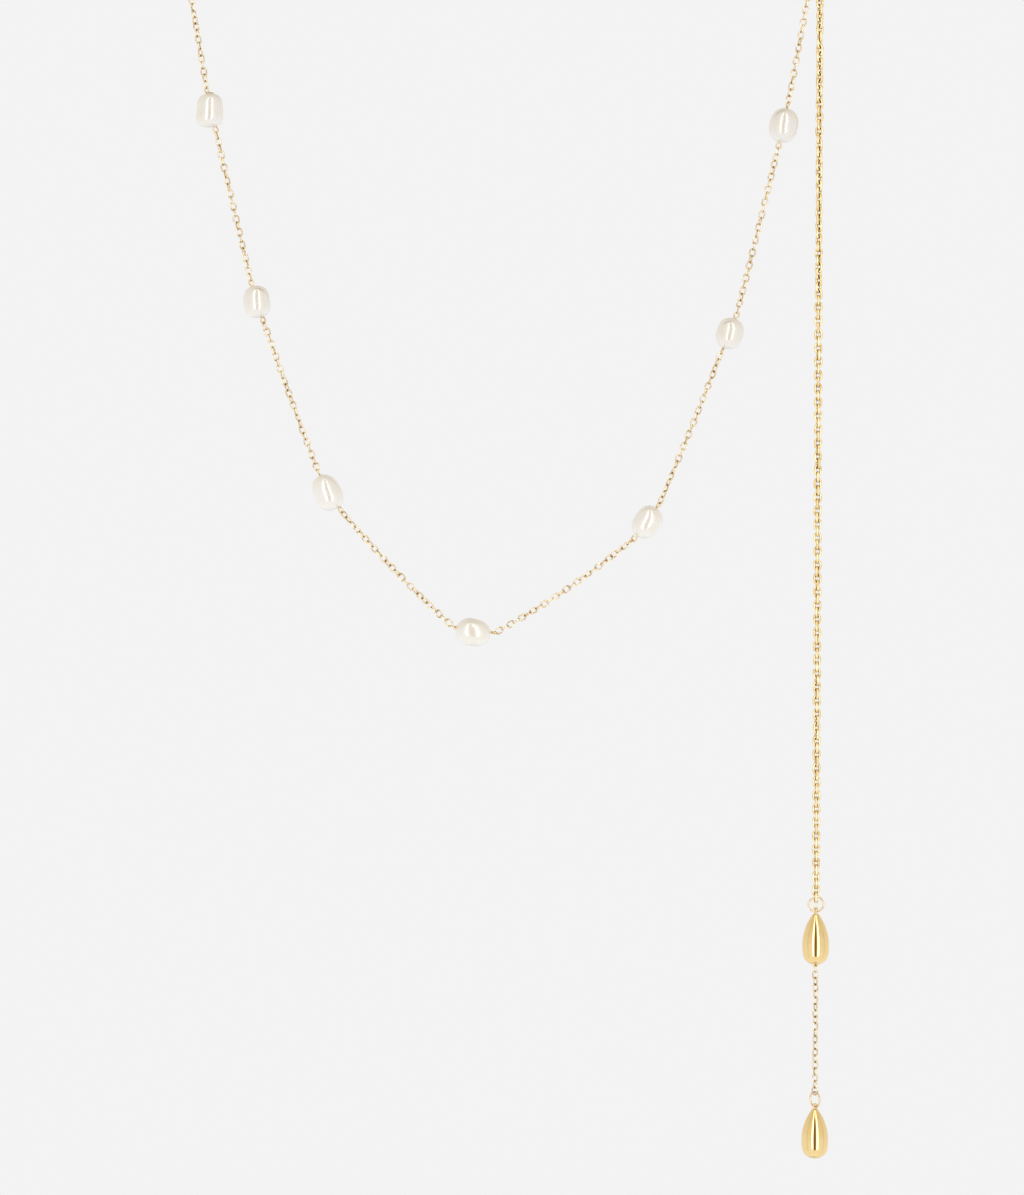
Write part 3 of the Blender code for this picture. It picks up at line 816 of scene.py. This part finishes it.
def make_pin(number, row, mat):
    """One wire through a pearl, bent into an eye at each end."""
    upper = eye_centre(row, True)
    lower = eye_centre(row, False)
    up = pin_direction(row)
    head = eye_loop(upper, up, eye_across(row, True))
    foot = eye_loop(lower, -up, eye_across(row, False))
    if (number, "head") in PIN_TAILS:
        sideways, upward = PIN_TAILS[number, "head"]
        head.append(head[-1] + RIGHT * sideways + UP * upward)
    path = [*reversed(head), upper.lerp(lower, 0.5), *foot]
    wires = [PIN_WIRE] * len(head) + [PIN_SHAFT] + [PIN_WIRE] * len(foot)
    shape = Shape()
    add_open_wire(shape, path, wires)
    shape.piece("eye_pin_%d_wire" % number, mat, ["eye_pin_%d" % number])


def make_front_chain(rows, mat):
    """The stretches between the pearls and up to the corner ring, hooked into the pins' eyes."""
    for number, (left, right) in enumerate(zip(rows, rows[1:]), start=1):
        from_head = left["lean_deg"] < 0
        to_head = right["lean_deg"] > 0
        route = Route(hanging_curve(eye_centre(left, from_head), eye_centre(right, to_head)))
        start = eye_hook(left, from_head, route.leaving())
        end = eye_hook(right, to_head, route.arriving())
        make_fine_chain("chain_%d_links" % number, route, start, end, number, mat,
                        ["chain_%d" % number])
    route = Route(hanging_curve(eye_centre(rows[-1], True), corner_hang(FRONT_Y, FINE_WIRE)))
    start = eye_hook(rows[-1], True, route.leaving())
    number = len(rows)
    make_fine_chain("chain_%d_links" % number, route, start, (0.0, RIGHT), number, mat,
                    ["chain_%d" % number])


def corner_hang(y, wire):
    """Middle of the end wire of a chain that hangs on the corner ring at a given depth."""
    radius = (CORNER_RING_DIAMETER - CORNER_RING_WIRE) / 2
    sideways = y - CORNER_RING_CENTRE.y
    slope = sideways / radius
    reach = radius - CORNER_RING_WIRE / 2 - wire / 2 - CONTACT_GAP
    return CORNER_RING_CENTRE + Vector((0, slope * reach, -math.sqrt(1 - slope ** 2) * reach))


def make_back_chain(rows, mat):
    """The stretch round the neck, from the clasp's eye to the first pearl's pin."""
    points = [clasp_eye_centre(), *[Vector(point) for point in BACK_ROUTE], eye_centre(rows[0], True)]
    route = Route(smooth_through(points, CURVE_STEPS))
    first = (CLASP_EYE_DIAMETER - CLASP_EYE_WIRE) / 2 - CLASP_EYE_WIRE / 2 - FINE_WIRE / 2 - CONTACT_GAP
    end = eye_hook(rows[0], True, route.arriving())
    make_fine_chain("back_chain_links", route, (first, UP), end, BACK_CHAIN_SEED, mat,
                    ["back_chain_left", "back_chain_right"])


def strand_end_centre():
    """Middle of the strand's last link, as the frame has it."""
    low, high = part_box("strand_end_link")
    return (low + high) / 2


def strand_lean(z):
    """Further turn of the strand's links: none at the ring, half a quarter high up, none low down."""
    leaving = min(1.0, (CORNER_RING_CENTRE.z - z) / STRAND_LEAN_IN)
    settled = min(1.0, max(0.0, (STRAND_LEAN_FROM_Z - z) / (STRAND_LEAN_FROM_Z - STRAND_LEAN_TO_Z)))
    return math.pi / 4 * leaving * (1 - settled ** 2 * (3 - 2 * settled))


def make_strand(mat):
    """The heavier chain from the corner ring to its last link."""
    draw = random.Random(STRAND_SEED)
    top = corner_hang(STRAND_Y, STRAND_WIRE)
    end_link = strand_end_centre()
    below = end_link + UP * ((STRAND_PITCH + STRAND_WIRE) / 2 - STRAND_WIRE - CONTACT_GAP)
    bend = Vector((STRAND_X, STRAND_Y, top.z - STRAND_BEND))
    route = Route([top, bend, below])
    count = round((route.length - STRAND_WIRE) / STRAND_PITCH)
    pitch = (route.length - STRAND_WIRE) / count
    frames = link_frames(route, 0.0, count, pitch, STRAND_WIRE, RIGHT)
    turns = even_turns(frames, strand_lean, draw)
    shape = Shape()
    add_chain(shape, frames, turns, (pitch, STRAND_WIDTH, STRAND_WIRE), draw)
    shape.piece("strand_links", mat, ["strand"])
    last = Shape()
    add_link(last, end_link, -UP, AWAY, STRAND_PITCH, STRAND_WIDTH, STRAND_WIRE)
    last.piece("strand_end_link_wire", mat, ["strand_end_link"])


def make_tie_link(mat):
    """The thin link inside the upper ring."""
    low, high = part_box("tie_link")
    shape = Shape()
    add_link(shape, (low + high) / 2, -UP, RIGHT, TIE_LENGTH - 2 * TIE_WIRE, TIE_WIDTH, TIE_WIRE)
    shape.piece("tie_link_wire", mat, ["tie_link"])


def make_jump_ring(node, turn_deg, gap_deg, lift, mat):
    """A jump ring cut at its top, its two ends a little apart and out of line."""
    low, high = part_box(node)
    centre = (low + high) / 2
    turn = math.radians(turn_deg)
    across = Vector((math.cos(turn), math.sin(turn), 0))
    side = across.cross(UP)
    half_width = (RING_WIDTH - RING_WIRE) / 2
    path = []
    for step in range(2 * EYE_STEPS + 1):
        share = step / (2 * EYE_STEPS)
        angle = math.radians(90 + gap_deg / 2) + share * math.radians(360 - gap_deg)
        swing = (share - 0.5) * 2
        reach = 1 + lift * swing ** 3 / half_width
        path.append(centre + across * (half_width * reach * math.cos(angle))
                    + UP * (RING_HALF_HEIGHT * reach * math.sin(angle))
                    + side * (0.5 * lift * swing ** 3))
    shape = Shape()
    add_open_wire(shape, path, [RING_WIRE] * len(path))
    shape.piece(node + "_wire", mat, [node])


def add_teardrop(shape, apex, height):
    """The turned body of a teardrop, its tip and its foot rounded."""
    rows = [Vector((share * DROP_WIDTH, 0, -height * level)) for level, share in DROP_PROFILE]
    outline = smooth_through(rows, PROFILE_STEPS)
    for step in range(1, FOOT_STEPS):
        angle = math.pi / 2 * step / FOOT_STEPS
        fall = (height + rows[-1].z) * math.sin(angle)
        outline.append(Vector((rows[-1].x * math.cos(angle), 0, rows[-1].z - fall)))
    shape.add_rows([circle(apex + UP * point.z, RIGHT, AWAY, point.x, DROP_SEGMENTS)
                    for point in outline])


def make_upper_teardrop(mat):
    """The upper teardrop with the eye at its apex and a smaller one in its foot."""
    apex = Vector((STRAND_X, STRAND_Y, UPPER_DROP_APEX_Z))
    shape = Shape()
    add_teardrop(shape, apex, UPPER_DROP_HEIGHT)
    eye = apex + UP * (EYE_SINK + UPPER_EYE_DIAMETER / 2 - EYE_WIRE)
    radius = (UPPER_EYE_DIAMETER - EYE_WIRE) / 2
    add_closed_wire(shape, oval(eye, AWAY, UP, radius, radius), RIGHT, EYE_WIRE)
    foot_radius = (FOOT_EYE_DIAMETER - FINE_WIRE) / 2
    add_closed_wire(shape, oval(foot_eye_centre(), RIGHT, UP, foot_radius, foot_radius), AWAY, FINE_WIRE)
    shape.piece("upper_teardrop_polished", mat, ["upper_teardrop"])


def foot_eye_centre():
    """Middle of the eye in the upper teardrop's foot."""
    drop = UPPER_DROP_HEIGHT + FOOT_EYE_DIAMETER / 2 - 2 * FINE_WIRE
    return Vector((STRAND_X, STRAND_Y, UPPER_DROP_APEX_Z - drop))


def make_lower_teardrop(mat):
    """The lower teardrop, which swings by its eye on the lower ring."""
    joint = frame["joints"][0]
    hinge = Vector(joint["pos_m"])
    tangent = Vector(joint["axis"]).normalized()
    across = Vector((-tangent.y, tangent.x, 0))
    apex = hinge - UP * (LOWER_EYE_DIAMETER / 2 - EYE_WIRE + EYE_SINK)
    radius = (LOWER_EYE_DIAMETER - EYE_WIRE) / 2
    shape = Shape()
    add_teardrop(shape, apex, LOWER_DROP_HEIGHT)
    add_closed_wire(shape, oval(hinge, across, UP, radius, radius), tangent, EYE_WIRE)
    shape.piece("lower_teardrop_polished", mat, ["lower_teardrop"], "end_drop")


def make_drop_chain(mat):
    """The fine links between the teardrops."""
    first = foot_eye_centre().z
    shape = Shape()
    draw = random.Random(DROP_CHAIN_SEED)
    pitch = DROP_LINK_PITCH - CONTACT_GAP
    for index in range(DROP_LINKS):
        centre = Vector((STRAND_X, STRAND_Y, first - (pitch + FINE_WIRE) / 2 - index * DROP_LINK_PITCH))
        turn = math.pi / 2 * (index + 1)
        if 0 < index < DROP_LINKS - 1:
            turn += math.radians(draw.gauss(DROP_LINK_TURN_DEG, DROP_LINK_SPREAD_DEG))
        across = RIGHT * math.cos(turn) + AWAY * math.sin(turn)
        add_link(shape, centre, -UP, across, pitch, FINE_WIDTH, FINE_WIRE)
    shape.piece("drop_chain_links", mat, ["drop_chain"])


def clasp_nose():
    """Middle of the clasp's wire at its front end, inside the corner ring."""
    low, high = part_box("clasp")
    return Vector(((low.x + high.x) / 2, low.y + CLASP_WIRE / 2, (low.z + high.z) / 2))


def clasp_eye_centre():
    """Middle of the eye at the clasp's back end."""
    reach = CLASP_LENGTH - CLASP_WIRE + (CLASP_EYE_DIAMETER - CLASP_EYE_WIRE) / 2
    return clasp_nose() + AWAY * reach


def make_clasp(mat):
    """A closed claw, wider at its back, with its eye."""
    half_length = (CLASP_LENGTH - CLASP_WIRE) / 2
    half_width = (CLASP_WIDTH - CLASP_WIRE) / 2
    centre = clasp_nose() + AWAY * half_length
    path = []
    for step in range(2 * EYE_STEPS):
        angle = math.pi * step / EYE_STEPS
        side = half_width * (1 + CLASP_TAPER * math.cos(angle)) * math.sin(angle)
        path.append(centre + RIGHT * side + AWAY * (half_length * math.cos(angle)))
    shape = Shape()
    add_closed_wire(shape, path, UP, CLASP_WIRE, CLASP_SIDES)
    radius = (CLASP_EYE_DIAMETER - CLASP_EYE_WIRE) / 2
    add_closed_wire(shape, oval(clasp_eye_centre(), RIGHT, AWAY, radius, radius), UP, CLASP_EYE_WIRE)
    shape.piece("clasp_cast", mat, ["clasp"])


def make_corner_ring(mat):
    """The ring at the clasp that carries the front chain and the strand."""
    radius = (CORNER_RING_DIAMETER - CORNER_RING_WIRE) / 2
    shape = Shape()
    add_closed_wire(shape, oval(CORNER_RING_CENTRE, AWAY, UP, radius, radius), RIGHT, CORNER_RING_WIRE)
    shape.piece("corner_ring_wire", mat, ["corner_ring"])


def add_card(name, left, right, strength):
    """An upright glowing card behind the camera, seen in the metal and the pearls alone."""
    middle = (left + right) / 2
    corners = [(left - middle, 0, STRIP_FOOT_Z), (right - middle, 0, STRIP_FOOT_Z),
               (right - middle, 0, STRIP_HEAD_Z), (left - middle, 0, STRIP_HEAD_Z)]
    mesh = bpy.data.meshes.new(name)
    mesh.from_pydata(corners, [], [(0, 1, 2, 3)])
    mat = bpy.data.materials.new(name)
    mat.use_nodes = True
    tree = mat.node_tree
    tree.nodes.clear()
    glow = tree.nodes.new("ShaderNodeEmission")
    glow.inputs["Strength"].default_value = strength
    out = tree.nodes.new("ShaderNodeOutputMaterial")
    tree.links.new(glow.outputs["Emission"], out.inputs["Surface"])
    mesh.materials.append(mat)
    card = bpy.data.objects.new(name, mesh)
    card.location = (middle, CAMERA_PLACE.y - STRIP_BEHIND_CAMERA, 0)
    bpy.context.scene.collection.objects.link(card)
    card.visible_camera = False
    card.visible_diffuse = False
    card.visible_shadow = False
    return tree, glow


def grade_slot(tree, glow):
    """Let the slot fade from its dark middle to its warm, brighter edges."""
    side = calculated(tree, "ABSOLUTE", axes_of(tree, "Object")["X"])
    share = calculated(tree, "DIVIDE", side, SLOT_HALF_WIDTH)
    ramp = ramp_between(tree, share, SLOT_COLOURS)
    tree.links.new(ramp.outputs["Color"], glow.inputs["Color"])


def make_floor():
    """A pale round floor below the drops, fading into the backdrop at its edge."""
    mesh = bpy.data.meshes.new("floor")
    shape = bmesh.new()
    bmesh.ops.create_circle(shape, cap_ends=True, segments=96, radius=FLOOR_RADIUS)
    shape.to_mesh(mesh)
    shape.free()
    mat, shader, tree = new_material("pale_floor")
    shader.inputs["Base Color"].default_value = (*FLOOR_COLOUR, 1.0)
    shader.inputs["Roughness"].default_value = 0.8
    shader.inputs["Specular IOR Level"].default_value = 0.2
    shader.inputs["Emission Color"].default_value = (1.0, 1.0, 1.0, 1.0)
    shader.inputs["Emission Strength"].default_value = FLOOR_GLOW
    place = tree.nodes.new("ShaderNodeTexCoord")
    reach = tree.nodes.new("ShaderNodeVectorMath")
    reach.operation = "LENGTH"
    tree.links.new(place.outputs["Object"], reach.inputs[0])
    fade = tree.nodes.new("ShaderNodeMapRange")
    fade.inputs["From Min"].default_value = FLOOR_FADE_FROM
    fade.inputs["From Max"].default_value = FLOOR_RADIUS
    fade.inputs["To Min"].default_value = 1.0
    fade.inputs["To Max"].default_value = 0.0
    fade.interpolation_type = "SMOOTHSTEP"
    tree.links.new(reach.outputs["Value"], fade.inputs["Value"])
    tree.links.new(fade.outputs["Result"], shader.inputs["Alpha"])
    mesh.materials.append(mat)
    floor = bpy.data.objects.new("floor", mesh)
    floor.location = (0, 0, FLOOR_Z)
    floor.visible_glossy = False
    floor.visible_diffuse = False
    bpy.context.scene.collection.objects.link(floor)


def tent_by_height(tree, axes):
    """Colour of the tent at the height of a direction."""
    height = tree.nodes.new("ShaderNodeMapRange")
    height.inputs["From Min"].default_value = -1.0
    tree.links.new(axes["Z"], height.inputs["Value"])
    return ramp_between(tree, height.outputs["Result"], TENT_HEIGHTS).outputs["Color"]


def tent_by_bearing(tree, axes):
    """Brightness of the tent at the bearing of a direction, alike on its two sides."""
    side = calculated(tree, "ABSOLUTE", axes["X"])
    front = calculated(tree, "MULTIPLY", axes["Y"], -1.0)
    bearing = calculated(tree, "ARCTAN2", side, front)
    share = calculated(tree, "DIVIDE", bearing, math.pi)
    stops = [(place, (value, value, value)) for place, value in TENT_SEAMS]
    return ramp_between(tree, share, stops).outputs["Color"]


def make_world():
    """White tent all round: an even backdrop to the camera, seams and a warmer top to the metal."""
    world = bpy.data.worlds.new("tent")
    world.use_nodes = True
    tree = world.node_tree
    tree.nodes.clear()
    axes = axes_of(tree, "Generated")
    both = tree.nodes.new("ShaderNodeMix")
    both.data_type = "RGBA"
    both.blend_type = "MULTIPLY"
    both.inputs["Factor"].default_value = 1.0
    tree.links.new(tent_by_height(tree, axes), both.inputs["A"])
    tree.links.new(tent_by_bearing(tree, axes), both.inputs["B"])
    lit = tree.nodes.new("ShaderNodeBackground")
    tree.links.new(both.outputs["Result"], lit.inputs["Color"])
    seen = tree.nodes.new("ShaderNodeBackground")
    seen.inputs["Color"].default_value = (BACKDROP, BACKDROP, BACKDROP, 1.0)
    path = tree.nodes.new("ShaderNodeLightPath")
    mix = tree.nodes.new("ShaderNodeMixShader")
    tree.links.new(path.outputs["Is Camera Ray"], mix.inputs["Fac"])
    tree.links.new(lit.outputs["Background"], mix.inputs[1])
    tree.links.new(seen.outputs["Background"], mix.inputs[2])
    out = tree.nodes.new("ShaderNodeOutputWorld")
    tree.links.new(mix.outputs["Shader"], out.inputs["Surface"])
    bpy.context.scene.world = world


def make_camera():
    """The camera, level and turned a hair on its own axis."""
    lens = bpy.data.cameras.new("camera")
    lens.lens = CAMERA_LENS_MM
    lens.sensor_width = CAMERA_SENSOR_MM
    lens.sensor_fit = "AUTO"
    camera = bpy.data.objects.new("camera", lens)
    bpy.context.scene.collection.objects.link(camera)
    across = (RIGHT + UP * CAMERA_ROLL).normalized()
    upward = (UP - RIGHT * CAMERA_ROLL).normalized()
    turn = Matrix((across, upward, -AWAY)).transposed()
    camera.matrix_world = Matrix.Translation(CAMERA_PLACE) @ turn.to_4x4()
    bpy.context.scene.camera = camera


def make_studio():
    """Camera, tent, floor, strips and the dark slot between them."""
    make_camera()
    make_world()
    make_floor()
    middle = CAMERA_PLACE.x
    add_card("strip_left", middle - STRIP_OUTER, middle - SLOT_HALF_WIDTH, STRIP_STRENGTH)
    add_card("strip_right", middle + SLOT_HALF_WIDTH, middle + STRIP_OUTER, STRIP_STRENGTH)
    grade_slot(*add_card("slot", middle - SLOT_HALF_WIDTH, middle + SLOT_HALF_WIDTH, 1.0))
    bpy.context.scene.view_settings.view_transform = "Standard"


make_studio()
golds = {name: gold(name, *values) for name, values in GOLDS.items()}
pearls = pearl_rows()
for pearl_number, pearl_row in enumerate(pearls, start=1):
    make_pearl(pearl_number, pearl_row, nacre("nacre_%d" % pearl_number, pearl_row["tone"]))
    make_pin(pearl_number, pearl_row, golds["pin_gold"])
make_front_chain(pearls, golds["fine_gold"])
make_back_chain(pearls, golds["fine_gold"])
make_corner_ring(golds["strand_gold"])
make_clasp(golds["clasp_gold"])
make_strand(golds["strand_gold"])
make_tie_link(golds["fine_gold"])
make_jump_ring("upper_ring", 0.0, UPPER_RING_GAP_DEG, UPPER_RING_LIFT, golds["ring_gold"])
make_jump_ring("lower_ring", LOWER_RING_TURN_DEG, LOWER_RING_GAP_DEG, 0.0, golds["ring_gold"])
make_upper_teardrop(golds["polished_gold"])
make_drop_chain(golds["fine_gold"])
make_lower_teardrop(golds["polished_gold"])
